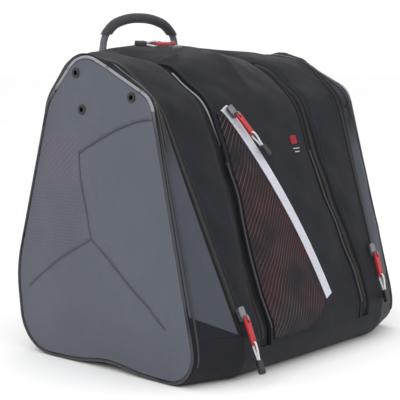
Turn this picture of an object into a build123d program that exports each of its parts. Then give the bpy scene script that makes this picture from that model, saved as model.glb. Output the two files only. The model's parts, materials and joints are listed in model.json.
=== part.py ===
"""Ski boot bag: two side boot compartments with fold-down doors and a middle helmet compartment.

Millimetres. The origin is on the floor under the bag, +X to the bag's right, -Y to its front,
+Z up. The cloth body is a hull lofted across its width, and every cloth panel is a region of
that hull's wall. Each side door folds out about its foot, the front flap folds down about its
foot, each zip slider runs along its zip, and each pull swings on its slider.
"""
from build123d import *
from math import cos, hypot, radians, sin, tan
import os

os.makedirs("parts", exist_ok=True)

# ---- overall sizes ----
half_width = 223.0        # middle to a side panel, at the floor
side_lean = 1.7           # degrees that each side panel leans inwards
height = 424.0            # crown of the middle compartment
front_reach = 192.0       # origin to the front of the middle, at its knee
back_reach = 156.0        # origin to the back of the middle, at its waist
flank_x = 100.0           # edge of the middle compartment
zip_floor_x = 151.0       # where a boot zip's line would meet the floor
zip_lean = 6.6            # degrees that the boot zips lean outwards

# ---- cloth ----
wall = 4.0                # padded cloth wall
fillet_share = 0.995      # of a side between two corners that their rounds may take
padding = 8.0             # back panel
seam_gap = 0.3            # kept between neighbouring panels
groove_depth = 3.0        # how far the flap's zip lies below the cloth beside it
layer = 2.6               # a second layer sewn on the outside
bead = 1.2                # how far the flap's piping stands proud
skin_gap = 0.1            # between the flap's face and what is sewn on it
shy = 1.0                 # how far layers on the flap stop short of the sides
beyond = 60.0             # how far cutting outlines run past the bag
hoop_reach = 3.0          # how far cutting shapes run past the side panels
hem_gap = 8.0             # between the flap's foot and the pocket's

# ---- levels ----
knee_z = 62.0
waist_z = 112.0
sole_trim = 0.5           # cut off flat under the bag
side_rise = 0.1           # the side panels' foot above the floor
door_foot_z = 62.0        # a door folds at its outer edge, at this level
back_top_z = 365.0        # back panel to top panel
back_start_y = 60.0
zip_foot_z = 60.0
flap_foot_z = 38.0
boot_tape = 6.0           # each half of a boot zip's tape

# ---- front flap, half widths from its foot to its crown ----
flap_foot_x = 102.0
flap_hip_x = 107.0
flap_hip_z = 105.0
flap_waist_x = 92.0
flap_waist_z = 235.0
flap_neck_x = 91.5
flap_neck_drop = 58.0     # neck below the crown
flap_crown_x = 98.0
flap_rounds = [160.0, 200.0, 120.0]
flap_end_y = 15.0         # cross seam on the crown
top_tape = 8.0            # zip tape behind the cross seam
flap_tape = 20.0          # width of the sunk zip band beside the flap
flap_edge = 4.0           # width of the piping along the flap's edge

# ---- pocket on the flap, as (x, z) in the front view ----
pocket_top = (-70.0, 334.0)
pocket_foot = (30.0, 81.0)
pocket_bow = 15.0
pocket_tape = 15.0
pocket_corner_x = -6.0    # lower right corner of the patterned panel
pocket_corner_run = 20.0
pocket_corner_rise = 10.0
pocket_hem = 3.0          # between the flap's piping and the patterned panel
pocket_sink = 0.8         # the patterned panel lies this far below the zip's face

# ---- piping, eyelets ----
piping_radius = 2.6
piping_inset = 2.7        # its middle, in from the panel's outline
piping_sink = 0.4         # its middle, in from the panel's face
eyelet_radius = 6.5
eyelet_hole = 3.2
eyelet_rim = 1.2
eyelet_seat = 0.1         # under an eyelet's rim

# ---- zip pulls ----
slider_length = 18.0
slider_width = 11.0
slider_height = 4.6
slider_clearance = 1.0
slider_round = 3.0
slider_margin = 1.0       # between a slider's side and the seam beside it
pocket_lift = 1.2         # the pocket's slider above its own zip
bridge_width = 2.6
bridge_reach = 3.5
bridge_bar = 1.3
pin_radius = 1.0
pin_clearance = 0.6       # between the pin and the bridge over it
pin_end = 0.4             # the pin stops this short of the tab's sides
pin_height = 2.6          # pin's middle above the slider's top
pin_ahead = 6.0           # pin ahead of the slider's middle
tab_length = 36.0
tab_width = 8.6
tab_tip_width = 7.0
tab_thickness = 3.0
tab_hole = 2.6
tab_round = 2.6
tab_clearance = 0.5       # between the tab's arms and the bridge
tab_cover = 0.2           # of the tab's arms past the pin
tab_tip = 5.0             # middle of the hole to the tab's tip
cord_radius = 1.3
cord_spread = 3.15        # half the loop's width at the tab's hole
cord_belly = 3.3          # half its width just past the hole
cord_half_gap = 1.55      # half its width at the toggle
cord_belly_run = 10.0     # hole to belly
cord_toggle_run = 5.0     # straight into the toggle
cord_share = 0.45         # of a run that each bend may take
toggle_start = 54.0       # pin to the toggle
toggle_length = 18.0
toggle_width = 8.0
toggle_thickness = 6.4
toggle_round = 2.4
left_slider_z = 80.0
right_slider_z = 118.0
top_slider_x = -55.0
pocket_slider_z = 320.0
leaning_hang = 3.2        # degrees that the left pull drops back towards the base
top_hang = 2.6            # degrees that the top pull drops onto the crown
cord_turn = -13.0         # degrees that its cord turns sideways at the tab's hole

# ---- handle ----
handle_half_span = 77.0
handle_rise = 51.0
handle_shoulder = 23.0    # in from a foot to the arch's shoulder
handle_brow = 55.0        # in from a foot to the arch's flat top
handle_shin = 4.0         # in from a foot to where the arch starts to bend
handle_bend_rise = 0.47   # shares of the arch's rise, at its bend and its shoulder
handle_shoulder_rise = 0.82
handle_rounds = [30.0, 45.0, 130.0]
handle_core = 5.0
handle_end = 6.5
grip_radius = 7.2
grip_fit = 0.1            # between the core and the grip
grip_share = 0.52         # of the rise that stays bare
anchor_gap = 1.2          # under the handle's feet
anchor_length = 52.0      # handle's pivot to the anchors' foot
anchor_inset = 14.0       # anchors' foot in from the back
anchor_thickness = 4.0
anchor_top = (6.0, 3.0)   # anchors' top, before and behind the pivot
anchor_margin = 4.0       # anchors' sides past the handle's feet
handle_set_back = 18.0    # pivot behind the crown's back edge
handle_drop = 20.0        # pivot below the crown

# ---- inside ----
divider_x = 114.0
divider_thickness = 5.0
board_thickness = 3.0
fit = 1.0                 # clearance round what stands inside the cloth

# ---- shoulder straps ----
strap_x = 82.0
strap_width = 62.0
strap_thickness = 11.0
strap_gap = 1.5
strap_drop = 66.0         # handle's pivot to the straps' top
strap_lift = 28.0         # straps' foot above the waist
strap_neck = (15.5, 38.0) # straps' top in towards the back, and the bend under it
strap_bulge = (7.0, 14.0, 5.0)
strap_belly_share = 0.5125  # of the run from the straps' foot to their upper bend
strap_bevel = 0.3
strap_rounds = [60.0, 160.0]
webbing_width = 25.0
webbing_thickness = 2.4
lock_height = 24.0
lock_margin = 9.0         # buckle wider than its webbing
lock_thickness = 5.0
lock_round = 3.0
lock_slot = 4.0
lock_slot_rise = 5.5      # slots above and below the buckle's middle
lock_slot_margin = 2.0
lock_gap = 0.5            # under the strap
webbing_drop = 9.0        # under the buckle
webbing_spread = 46.0     # webbing's foot out from the strap
webbing_proud = 2.6       # webbing's foot behind the back
webbing_foot_rise = 4.0   # above the base

side_slope = tan(radians(side_lean))
zip_slope = tan(radians(zip_lean))
door_foot_x = half_width - piping_sink + piping_radius - door_foot_z * side_slope
zip_foot_x = zip_floor_x + zip_foot_z * zip_slope
hem_slope = (door_foot_z - zip_foot_z) / (door_foot_x - zip_foot_x)
brow_y = 112.0 - front_reach
brow_z = height - 79.0
peak_y = back_reach - 38.0
far = 2.0 * (half_width + height)


# ---- hull ----
def middle_profile():
    """Corners (y, z) and radii of the bag's section at its middle."""
    corners = [
        (2.0 - front_reach, -sole_trim),
        (-front_reach, knee_z),
        (brow_y, brow_z),
        (162.0 - front_reach, height - 22.0),
        (peak_y, height),
        (back_reach - 16.0, height - 79.0),
        (back_reach, waist_z),
        (back_reach - 3.0, -sole_trim),
    ]
    return corners, [38.0, 40.0, 90.0, 90.0, 25.0, 100.0, 300.0, 30.0]


def flank_profile():
    """Corners (y, z) and radii at the edge of the middle compartment."""
    corners = [
        (3.0 - front_reach, -sole_trim),
        (1.5 - front_reach, knee_z),
        (111.0 - front_reach, height - 82.0),
        (178.0 - front_reach, height - 35.0),
        (peak_y, height - 10.0),
        (back_reach - 16.0, height - 79.0),
        (back_reach, waist_z),
        (back_reach - 3.0, -sole_trim),
    ]
    return corners, [38.0, 40.0, 80.0, 90.0, 25.0, 100.0, 300.0, 30.0]


def zip_profile():
    """Corners (y, z) and radii along a boot zip, where the front turns into the gusset."""
    corners = [
        (4.0 - front_reach, -sole_trim),
        (1.0 - front_reach, knee_z),
        (108.0 - front_reach, height - 84.0),
        (172.0 - front_reach, height - 28.0),
        (back_reach - 86.0, height - 18.0),
        (back_reach - 28.0, height - 79.0),
        (back_reach + 4.0, waist_z),
        (back_reach - 6.0, -sole_trim),
    ]
    return corners, [36.0, 24.0, 70.0, 70.0, 50.0, 70.0, 200.0, 45.0]


def side_profile():
    """Corners (y, z) and radii of a side panel."""
    corners = [
        (16.0 - front_reach, side_rise),
        (29.0 - front_reach, knee_z),
        (102.0 - front_reach, height - 72.0),
        (187.0 - front_reach, height - 31.0),
        (back_reach - 116.0, height - 12.0),
        (back_reach - 54.0, height - 81.0),
        (back_reach + 7.0, waist_z),
        (back_reach - 10.0, side_rise),
    ]
    return corners, [40.0, 200.0, 35.0, 150.0, 45.0, 75.0, 150.0, 62.0]


def fitted(corners, radii):
    """The radii, each made smaller only where a side between two corners is too short for them."""
    count = len(corners)
    points = [Vector(y, z) for y, z in corners]
    sides = [points[(k + 1) % count] - points[k] for k in range(count)]
    turns = [sides[k - 1].get_angle(sides[k]) for k in range(count)]
    reach = [radius * tan(radians(turn / 2.0)) for radius, turn in zip(radii, turns)]
    room = [(reach[k] + reach[(k + 1) % count]) / (fillet_share * sides[k].length) for k in range(count)]
    return [radii[k] / max(1.0, room[k], room[k - 1]) for k in range(count)]


def leaning_plane(side, x, lean):
    """A plane across the width that meets the floor at x and leans inwards by some degrees."""
    tilt = radians(lean)
    return Plane(origin=(side * x, 0, 0), x_dir=(0, 1, 0), z_dir=(cos(tilt), 0, side * sin(tilt)))


def side_plane(side, x):
    """The leaning plane of one side panel, moved to cross the floor at x."""
    return leaning_plane(side, x, side_lean)


def section(plane, profile, inset):
    """One face of the hull, drawn in a plane across the width and shrunk by inset."""
    corners, radii = profile
    with BuildSketch(plane) as face:
        with BuildLine():
            FilletPolyline(*corners, radius=fitted(corners, radii), close=True)
        make_face()
        if inset != 0.0:
            offset(amount=-inset)
    return face.sketch.faces()[0]


def hull(inset, reach):
    """The bag's outer shape, shrunk by inset, with its ends moved out by reach."""
    stations = [
        section(side_plane(-1, half_width + reach), side_profile(), inset),
        section(leaning_plane(-1, zip_floor_x, -zip_lean), zip_profile(), inset),
        section(Plane.YZ.offset(-flank_x), flank_profile(), inset),
        section(Plane.YZ, middle_profile(), inset),
        section(Plane.YZ.offset(flank_x), flank_profile(), inset),
        section(leaning_plane(1, zip_floor_x, -zip_lean), zip_profile(), inset),
        section(side_plane(1, half_width + reach), side_profile(), inset),
    ]
    with BuildPart() as body:
        loft(stations, ruled=True)
    return body.part


outside = hull(0.0, 0.0)
inside = hull(wall, hoop_reach)


# ---- outlines in the front view ----
def door_outline(side, shift, gap):
    """What swings with a door; shift moves its zip edge outwards and gap shrinks it."""
    foot_x = zip_foot_x + shift
    foot_z = door_foot_z - (door_foot_x - foot_x) * hem_slope
    top_z = height + beyond
    top_x = zip_floor_x + top_z * zip_slope + shift
    outer_x = door_foot_x + beyond
    with BuildSketch(Plane.XZ) as outline:
        with BuildLine():
            Polyline(
                (side * foot_x, foot_z),
                (side * top_x, top_z),
                (side * outer_x, top_z),
                (side * outer_x, door_foot_z + beyond * hem_slope),
                close=True,
            )
        make_face()
        if gap != 0.0:
            offset(amount=-gap, kind=Kind.INTERSECTION)
    return outline.sketch


def base_outline(gap):
    """The base: below both doors' hems and the bands' feet."""
    outer_x = door_foot_x + beyond
    outer_z = door_foot_z + beyond * hem_slope
    with BuildSketch(Plane.XZ) as outline:
        with BuildLine():
            Polyline(
                (-outer_x, outer_z),
                (-zip_foot_x, zip_foot_z),
                (zip_foot_x, zip_foot_z),
                (outer_x, outer_z),
                (outer_x, -beyond),
                (-outer_x, -beyond),
                close=True,
            )
        make_face()
        offset(amount=-gap)
    return outline.sketch


def flap_outline(shift, foot_z):
    """The front flap's outline, widened by shift on each side."""
    with BuildSketch(Plane.XZ) as outline:
        with BuildLine():
            edge = FilletPolyline(
                (flap_foot_x + shift, foot_z),
                (flap_hip_x + shift, flap_hip_z),
                (flap_waist_x + shift, flap_waist_z),
                (flap_neck_x + shift, height - flap_neck_drop),
                (flap_crown_x + shift, height + beyond),
                radius=flap_rounds,
            )
            Polyline(edge @ 1, (0, height + beyond), (0, foot_z), edge @ 0)
            mirror(about=Plane.YZ)
        make_face()
    return outline.sketch


# ---- panels ----
def panel(outer, inner, keep, drop):
    """The wall between two hulls, kept inside one outline and left out of the others."""
    with BuildPart() as cloth:
        add(outer)
        add(inner, mode=Mode.SUBTRACT)
        extrude(keep, amount=far, both=True, mode=Mode.INTERSECT)
        for outline in drop:
            extrude(outline, amount=far, both=True, mode=Mode.SUBTRACT)
    return cloth.part


def front_of(shape, y):
    """What is in front of a plane across the bag."""
    with BuildPart() as cut:
        add(shape)
        split(bisect_by=Plane.XZ.offset(-y), keep=Keep.TOP)
    return cut.part


def behind(shape, y):
    """What is behind a plane across the bag."""
    with BuildPart() as cut:
        add(shape)
        split(bisect_by=Plane.XZ.offset(-y), keep=Keep.BOTTOM)
    return cut.part


def above(shape, z):
    """What is above a level."""
    with BuildPart() as cut:
        add(shape)
        split(bisect_by=Plane.XY.offset(z), keep=Keep.TOP)
    return cut.part


def below(shape, z):
    """What is below a level."""
    with BuildPart() as cut:
        add(shape)
        split(bisect_by=Plane.XY.offset(z), keep=Keep.BOTTOM)
    return cut.part


def without(shape, *tools):
    """A shape with others cut out of it."""
    with BuildPart() as cut:
        add(shape)
        for tool in tools:
            add(tool, mode=Mode.SUBTRACT)
    return cut.part


def within(shape, tool):
    """What two shapes share."""
    with BuildPart() as cut:
        add(shape)
        add(tool, mode=Mode.INTERSECT)
    return cut.part


def save(shape, name):
    """Label one node and write it."""
    with BuildPart() as piece:
        add(shape)
    piece.part.label = name
    export_step(piece.part, f"parts/{name}.step")


def slab(outline):
    """A prism through the whole bag, front to back."""
    with BuildPart() as prism:
        extrude(outline, amount=far, both=True)
    return prism.part


def piping_loop(side, radius):
    """A round cord all round one side panel's edge."""
    corners, radii = side_profile()
    plane = side_plane(side, half_width - piping_sink)
    with BuildSketch(plane) as face:
        with BuildLine():
            FilletPolyline(*corners, radius=fitted(corners, radii), close=True)
        make_face()
        offset(amount=-piping_inset)
    path = face.sketch.faces()[0].outer_wire()
    with BuildPart() as loop:
        with BuildSketch(Plane(origin=path @ 0, z_dir=path % 0)):
            Circle(radius)
        sweep(path=path)
    return loop.part


def side_plate(side):
    """A side panel's whole plate, inside the hoop of the hull's wall."""
    corners, radii = side_profile()
    with BuildPart() as plate:
        with BuildSketch(side_plane(side, half_width)):
            with BuildLine():
                FilletPolyline(*corners, radius=fitted(corners, radii), close=True)
            make_face()
            offset(amount=-(wall + seam_gap))
        extrude(amount=-side * wall)
    return plate.part


eyelet_places = [
    (back_reach - 110.0, height - 44.0),
    (back_reach - 122.0, height - 91.0),
    (137.0 - front_reach, height - 73.0),
]


def eyelet_group(side):
    """Three flanged rings through a side panel."""
    with BuildPart() as rings:
        with BuildSketch(side_plane(side, half_width + eyelet_rim)):
            with Locations(*eyelet_places):
                Circle(eyelet_radius)
        extrude(amount=-side * (eyelet_rim - eyelet_seat))
        with BuildSketch(side_plane(side, half_width + eyelet_rim)):
            with Locations(*eyelet_places):
                Circle(eyelet_hole + eyelet_rim)
        extrude(amount=-side * (wall + 2.0 * eyelet_rim))
        with BuildSketch(side_plane(side, half_width + 2.0 * eyelet_rim)):
            with Locations(*eyelet_places):
                Circle(eyelet_hole)
        extrude(amount=-side * (wall + 6.0 * eyelet_rim), mode=Mode.SUBTRACT)
    return rings.part


def eyelet_holes(side):
    """The holes that the rings sit in."""
    with BuildPart() as holes:
        with BuildSketch(side_plane(side, half_width + eyelet_rim)):
            with Locations(*eyelet_places):
                Circle(eyelet_hole + eyelet_rim + seam_gap)
        extrude(amount=-side * (wall + 4.0 * eyelet_rim))
    return holes.part


def pocket_edge(shift):
    """The pocket zip's bowed line, moved sideways by shift, from its top to its foot."""
    top_x, top_z = pocket_top
    foot_x, foot_z = pocket_foot
    run = hypot(foot_x - top_x, foot_z - top_z)
    across = ((top_z - foot_z) / run, (foot_x - top_x) / run)
    middle = ((top_x + foot_x) / 2.0, (top_z + foot_z) / 2.0)
    bow = pocket_bow + shift
    return (
        (top_x + across[0] * shift, top_z + across[1] * shift),
        (middle[0] + across[0] * bow, middle[1] + across[1] * bow),
        (foot_x + across[0] * shift, foot_z + across[1] * shift),
    )


def pocket_zip_outline():
    """The bowed band of the pocket's zip."""
    with BuildSketch(Plane.XZ) as outline:
        with BuildLine():
            near = ThreePointArc(*pocket_edge(-pocket_tape / 2.0))
            distant = ThreePointArc(*pocket_edge(pocket_tape / 2.0))
            Line(near @ 0, distant @ 0)
            Line(near @ 1, distant @ 1)
        make_face()
    return outline.sketch


def pocket_panel_outline():
    """The patterned panel between the flap's left edge and the pocket's zip."""
    edge = flap_edge + pocket_hem
    foot_z = flap_foot_z + hem_gap
    with BuildSketch(Plane.XZ) as outline:
        with BuildLine():
            seam = ThreePointArc(*pocket_edge(-pocket_tape / 2.0 - seam_gap))
            Polyline(
                seam @ 1,
                (pocket_corner_x, foot_z + pocket_corner_rise),
                (pocket_corner_x - pocket_corner_run, foot_z),
                (edge - flap_foot_x, foot_z),
                (edge - flap_hip_x, flap_hip_z),
                (edge - flap_waist_x, flap_waist_z),
                (edge - flap_waist_x, pocket_top[1] - pocket_hem),
                seam @ 0,
            )
        make_face()
    return outline.sketch


# ---- zip pulls ----
# A seat plane lies on the cloth, z out of it and -y the way that the pull hangs.
def pull_slider(seat):
    """A zip slider with its bridge."""
    top = slider_clearance + slider_height
    bridge_top = pin_height + pin_radius + pin_clearance + bridge_bar
    with BuildPart() as slider:
        with BuildSketch(seat.offset(slider_clearance)):
            with Locations((0, pin_ahead)):
                RectangleRounded(slider_width, slider_length, slider_round)
        extrude(amount=slider_height)
        with BuildSketch(Plane(seat.origin, seat.y_dir, seat.x_dir)):
            with Locations((0, top + bridge_top / 2.0)):
                Rectangle(2.0 * bridge_reach, bridge_top)
            with Locations((0, top + (bridge_top - bridge_bar) / 2.0)):
                Rectangle(2.0 * (bridge_reach - bridge_bar), bridge_top - bridge_bar, mode=Mode.SUBTRACT)
        extrude(amount=bridge_width / 2.0, both=True)
    return slider.part


def hang_plane(seat, droop):
    """The plane of a pull's tab, through its pin, turned towards the cloth by some degrees."""
    pin = seat.origin + seat.z_dir * (slider_clearance + slider_height + pin_height)
    turned = Plane(pin, seat.x_dir, seat.z_dir).rotated((droop, 0, 0))
    return turned


def cord_plane(hang, turn):
    """The hang plane for a pull's cord, turned sideways about the tab's hole."""
    hole = tab_tip - tab_length
    turned = Plane(hang.from_local_coords((0, hole, 0)), hang.x_dir, hang.z_dir).rotated((0, 0, turn))
    return Plane(turned.from_local_coords((0, -hole, 0)), turned.x_dir, turned.z_dir)


def pull_tab(hang):
    """A tapered tab with a pin at its root and a hole at its tip."""
    half_slot = bridge_width / 2.0 + tab_clearance
    root = bridge_reach + pin_height
    arm_width = tab_width / 2.0 - half_slot
    arm_end = pin_radius + tab_cover
    with BuildPart() as tab:
        with BuildSketch(hang) as face:
            with BuildLine():
                Polyline(
                    (-tab_width / 2.0, -root),
                    (tab_width / 2.0, -root),
                    (tab_tip_width / 2.0, -tab_length),
                    (-tab_tip_width / 2.0, -tab_length),
                    close=True,
                )
            make_face()
            fillet(face.vertices().group_by(Axis.Y)[0], radius=tab_round)
            with Locations((0, tab_tip - tab_length)):
                Circle(tab_hole, mode=Mode.SUBTRACT)
            for side in (-1, 1):
                with Locations((side * (half_slot + arm_width / 2.0), (arm_end - root) / 2.0)):
                    Rectangle(arm_width, root + arm_end)
        extrude(amount=tab_thickness / 2.0, both=True)
        with BuildSketch(Plane(hang.origin, hang.y_dir, hang.x_dir)):
            Circle(pin_radius)
        extrude(amount=tab_width / 2.0 - pin_end, both=True)
    return tab.part


def pull_cord(hang):
    """A loop of cord from the toggle, through the tab's hole and back."""
    hole_y = tab_tip - tab_length
    half = [
        (-toggle_start, cord_half_gap),
        (cord_toggle_run - toggle_start, cord_half_gap),
        (hole_y - cord_belly_run, cord_belly),
        (hole_y, cord_spread),
    ]
    route = half + [(y, -z) for y, z in reversed(half)]
    points = [hang.from_local_coords(Vector(0, y, z)) for y, z in route]
    radii = []
    for before, here, after in zip(points, points[1:], points[2:]):
        turn = (here - before).get_angle(after - here)
        shorter = min((here - before).length, (after - here).length)
        radii.append(cord_share * shorter / tan(radians(turn) / 2.0))
    with BuildLine():
        path = FilletPolyline(*points, radius=radii)
    with BuildPart() as cord:
        with BuildSketch(Plane(origin=path @ 0, z_dir=path % 0)):
            Circle(cord_radius)
        sweep(path=path)
    print("cord radii", [round(r, 1) for r in radii], "length", round(path.length, 1))
    print("cord points", [tuple(round(v, 2) for v in point) for point in points])
    return cord.part


def pull_toggle(hang):
    """The moulded end that holds both ends of a pull's cord."""
    with BuildPart() as toggle:
        with BuildSketch(hang):
            with Locations((0, -toggle_start - toggle_length / 2.0)):
                RectangleRounded(toggle_width, toggle_length, toggle_round)
        extrude(amount=toggle_thickness / 2.0, both=True)
    return toggle.part


def save_pull(seat, droop, turn, word):
    """Write one zip's slider and what hangs on it."""
    hang = hang_plane(seat, droop)
    save(pull_slider(seat), f"{word}_slider")
    save(pull_tab(hang), f"{word}_pull_tab")
    cord = cord_plane(hang, turn)
    save(pull_cord(cord), f"{word}_pull_cord")
    save(pull_toggle(cord), f"{word}_pull_toggle")
    seat_words = (word, "seat", tuple(seat.origin), "pin", tuple(hang.origin))
    axis_words = ("x", tuple(seat.x_dir), "y", tuple(seat.y_dir))
    print(*seat_words, *axis_words, "hang y", tuple(hang.y_dir), "hang z", tuple(hang.z_dir))


def boot_seat(side, z):
    """Where a boot zip's slider sits, on the band beside its zip."""
    foot, brow = zip_profile()[0][1:3]
    back = (brow[0] - foot[0]) / (brow[1] - foot[1])
    along = Vector(side * zip_slope, back, 1.0).normalized()
    out = Vector(0, -1.0, back).normalized()
    x = side * (zip_floor_x + z * zip_slope - slider_width / 2.0 - slider_margin)
    y = foot[0] + (z - foot[1]) * back
    return Plane(origin=(x, y, z), x_dir=along.cross(out), z_dir=out)


def top_seat():
    """Where the flap's slider sits, behind the cross seam."""
    brow, peak = middle_profile()[0][3:5]
    rise = (peak[1] - brow[1]) / (peak[0] - brow[0])
    y = flap_end_y + slider_width / 2.0 + slider_margin
    z = brow[1] + (y - brow[0]) * rise
    out = Vector(0, -rise, 1.0).normalized()
    return Plane(origin=(top_slider_x, y, z), x_dir=Vector(1, 0, 0).cross(out), z_dir=out)


def pocket_arc():
    """The pocket zip's line on the flap's face: top, middle, foot, in three dimensions."""
    back = (brow_y + front_reach) / (brow_z - knee_z)
    line = pocket_edge(0.0)
    return [Vector(x, (z - knee_z) * back - front_reach, z) for x, z in line]


def pocket_circle():
    """Middle and normal of the circle that the pocket's slider runs along."""
    top, middle, foot = pocket_arc()
    chord = foot - top
    bow = middle - (top + foot) * 0.5
    radius = (chord.length / 2.0) ** 2 / (2.0 * bow.length) + bow.length / 2.0
    centre = middle - bow.normalized() * radius
    return centre, bow.cross(chord).normalized()


def pocket_seat():
    """Where the pocket's slider sits, on the pocket's zip."""
    centre, normal = pocket_circle()
    top, middle, foot = pocket_arc()
    out = normal if normal.Y < 0 else normal * -1.0
    share = (top.Z - pocket_slider_z) / (top.Z - foot.Z)
    turn = share * (foot - centre).get_angle(top - centre)
    arms = [(top - centre).rotate(Axis((0, 0, 0), out), sign * turn) for sign in (-1, 1)]
    arm = min(arms, key=lambda choice: choice.Z)
    along = arm.cross(out).normalized()
    up = along if along.Z > 0 else along * -1.0
    return Plane(origin=centre + arm + out * (layer + pocket_lift), x_dir=up.cross(out), z_dir=out)


# ---- handle ----
handle_y = peak_y + handle_set_back
handle_z = height - handle_drop


def handle_path():
    """The handle's arch, foot to foot."""
    half = [
        (handle_half_span, 0.0),
        (handle_half_span - handle_shin, handle_rise * handle_bend_rise),
        (handle_half_span - handle_shoulder, handle_rise * handle_shoulder_rise),
        (handle_half_span - handle_brow, handle_rise),
    ]
    points = [(-x, handle_y, handle_z + z) for x, z in half]
    points += [(x, handle_y, handle_z + z) for x, z in reversed(half)]
    with BuildLine():
        path = FilletPolyline(*points, radius=handle_rounds + handle_rounds[::-1])
    return path


def tube(path, outer, inner):
    """A tube along a path."""
    with BuildPart() as body:
        with BuildSketch(Plane(origin=path @ 0, z_dir=path % 0)):
            Circle(outer)
            if inner > 0.0:
                Circle(inner, mode=Mode.SUBTRACT)
        sweep(path=path)
    return body.part


def handle_core_piece():
    """The handle's webbing core with a round foot at each end."""
    path = handle_path()
    with BuildPart() as core:
        add(tube(path, handle_core, 0.0))
        for side in (-1, 1):
            with Locations((side * handle_half_span, handle_y, handle_z)):
                Sphere(handle_end)
    return core.part


def handle_grip():
    """The padded sleeve over the handle's arch."""
    sleeve = tube(handle_path(), grip_radius, handle_core + grip_fit)
    return above(sleeve, handle_z + handle_rise * grip_share)


def handle_anchors():
    """Webbing stitched to the back panel, under the handle's feet."""
    top = handle_z - handle_end - anchor_gap
    foot = handle_z - anchor_length
    foot_y = back_reach - anchor_inset
    with BuildPart() as anchors:
        for side in (-1, 1):
            with BuildSketch(Plane.YZ.offset(side * handle_half_span)):
                with BuildLine():
                    Polyline(
                        (foot_y, foot),
                        (handle_y - anchor_top[0], top),
                        (handle_y + anchor_top[1], top),
                        (foot_y + anchor_thickness, foot),
                        close=True,
                    )
                make_face()
            extrude(amount=handle_end + anchor_margin, both=True)
    return anchors.part


# ---- shoulder straps ----
strap_near = back_reach + strap_gap
strap_top_z = handle_z - strap_drop
strap_foot_z = waist_z + strap_lift
strap_bend_z = strap_top_z - strap_neck[1]
strap_belly_z = strap_foot_z + (strap_bend_z - strap_foot_z) * strap_belly_share


def strap_side(away):
    """One face of a strap, moved away from the back."""
    return FilletPolyline(
        (strap_near - strap_neck[0] + away, strap_top_z + away * strap_bevel),
        (strap_near + strap_bulge[0] + away, strap_bend_z),
        (strap_near + strap_bulge[1] + away, strap_belly_z),
        (strap_near + strap_bulge[2] + away, strap_foot_z),
        radius=strap_rounds,
    )


def shoulder_strap(side):
    """A strap's padded part, from under the handle down the back."""
    with BuildPart() as strap:
        with BuildSketch(Plane.YZ.offset(side * strap_x)):
            with BuildLine():
                inner = strap_side(0.0)
                outer = strap_side(strap_thickness)
                Line(inner @ 0, outer @ 0)
                Line(inner @ 1, outer @ 1)
            make_face()
        extrude(amount=strap_width / 2.0, both=True)
    return strap.part


lock_y = strap_near + strap_bulge[2] + strap_thickness / 2.0


def ladder_lock(side):
    """The two-slot buckle at a strap's foot."""
    middle_z = strap_foot_z - lock_height / 2.0 - lock_gap
    plane = Plane(
        origin=(side * strap_x, lock_y, middle_z),
        x_dir=(1, 0, 0),
        z_dir=(0, 1, 0),
    )
    with BuildPart() as lock:
        with BuildSketch(plane):
            RectangleRounded(webbing_width + lock_margin, lock_height, lock_round)
            with Locations((0, lock_slot_rise), (0, -lock_slot_rise)):
                SlotOverall(webbing_width + lock_slot_margin, lock_slot, mode=Mode.SUBTRACT)
        extrude(amount=lock_thickness / 2.0, both=True)
    return lock.part


def strap_webbing(side):
    """The flat webbing from a buckle to the bag's lower corner."""
    start_z = strap_foot_z - lock_height - lock_gap - webbing_drop
    start = Vector(side * strap_x, lock_y, start_z)
    end_x = side * (strap_x + webbing_spread)
    end = Vector(end_x, back_reach + webbing_proud, zip_foot_z + webbing_foot_rise)
    along = (end - start).normalized()
    across = along.cross(Vector(0, 1, 0)).normalized()
    with BuildPart() as webbing:
        with BuildSketch(Plane(origin=start, x_dir=across, z_dir=along)):
            Rectangle(webbing_width, webbing_thickness)
        extrude(amount=(end - start).length)
    return webbing.part


# ---- pieces ----
hoop = without(outside, inside)
snug = hull(wall + seam_gap, hoop_reach)


def side_pieces(side, word):
    """One door and the fixed cloth under it."""
    door = slab(door_outline(side, 0.0, seam_gap))
    door_cloth = slab(door_outline(side, boot_tape, 0.0))
    base = slab(base_outline(seam_gap))
    bed = piping_loop(side, piping_radius + seam_gap)
    tube_ring = piping_loop(side, piping_radius)
    plate = without(within(side_plate(side), snug), bed)
    edge = without(hoop, bed)
    save(without(within(plate, door), eyelet_holes(side)), f"{word}_side_panel")
    save(within(plate, base), f"{word}_lower_side")
    save(within(edge, within(door, door_cloth)), f"{word}_gusset")
    tape = without(within(edge, door), slab(door_outline(side, boot_tape, -seam_gap)))
    save(tape, f"{word}_boot_zip_outer")
    save(within(tube_ring, door), f"{word}_piping")
    save(within(tube_ring, base), f"{word}_lower_piping")
    save(eyelet_group(side), f"{word}_eyelets")


def flap_pieces():
    """The front flap, its sunk zip and its pocket."""
    foot = flap_foot_z + seam_gap
    edge = slab(flap_outline(0.0, foot))
    core = slab(flap_outline(-flap_edge, foot))
    cloth = slab(flap_outline(-flap_edge - seam_gap, foot))
    proud = without(hull(-bead, -shy / 2.0), inside)
    end_y = flap_end_y - seam_gap
    save(front_of(within(hoop, cloth), end_y), "flap_panel")
    save(front_of(without(within(proud, edge), core), end_y), "flap_piping")
    over = hull(-layer, -shy)
    under = hull(-skin_gap, -shy / 2.0)
    save(front_of(panel(over, under, pocket_zip_outline(), []), 0.0), "pocket_zip")
    sunk = hull(pocket_sink - layer, -shy)
    save(front_of(panel(sunk, under, pocket_panel_outline(), []), 0.0), "pocket_panel")


def half_space(side):
    """Everything on one side of the bag's middle."""
    with BuildPart() as half:
        with Locations((side * far / 2.0, 0, 0)):
            Box(far, 2.0 * far, 2.0 * far)
    return half.part


def back_outline():
    """A rectangle over the whole back."""
    with BuildSketch(Plane.XZ) as outline:
        with Locations((0, back_top_z / 2.0)):
            Rectangle(far, back_top_z + 2.0 * beyond)
    return outline.sketch


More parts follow.
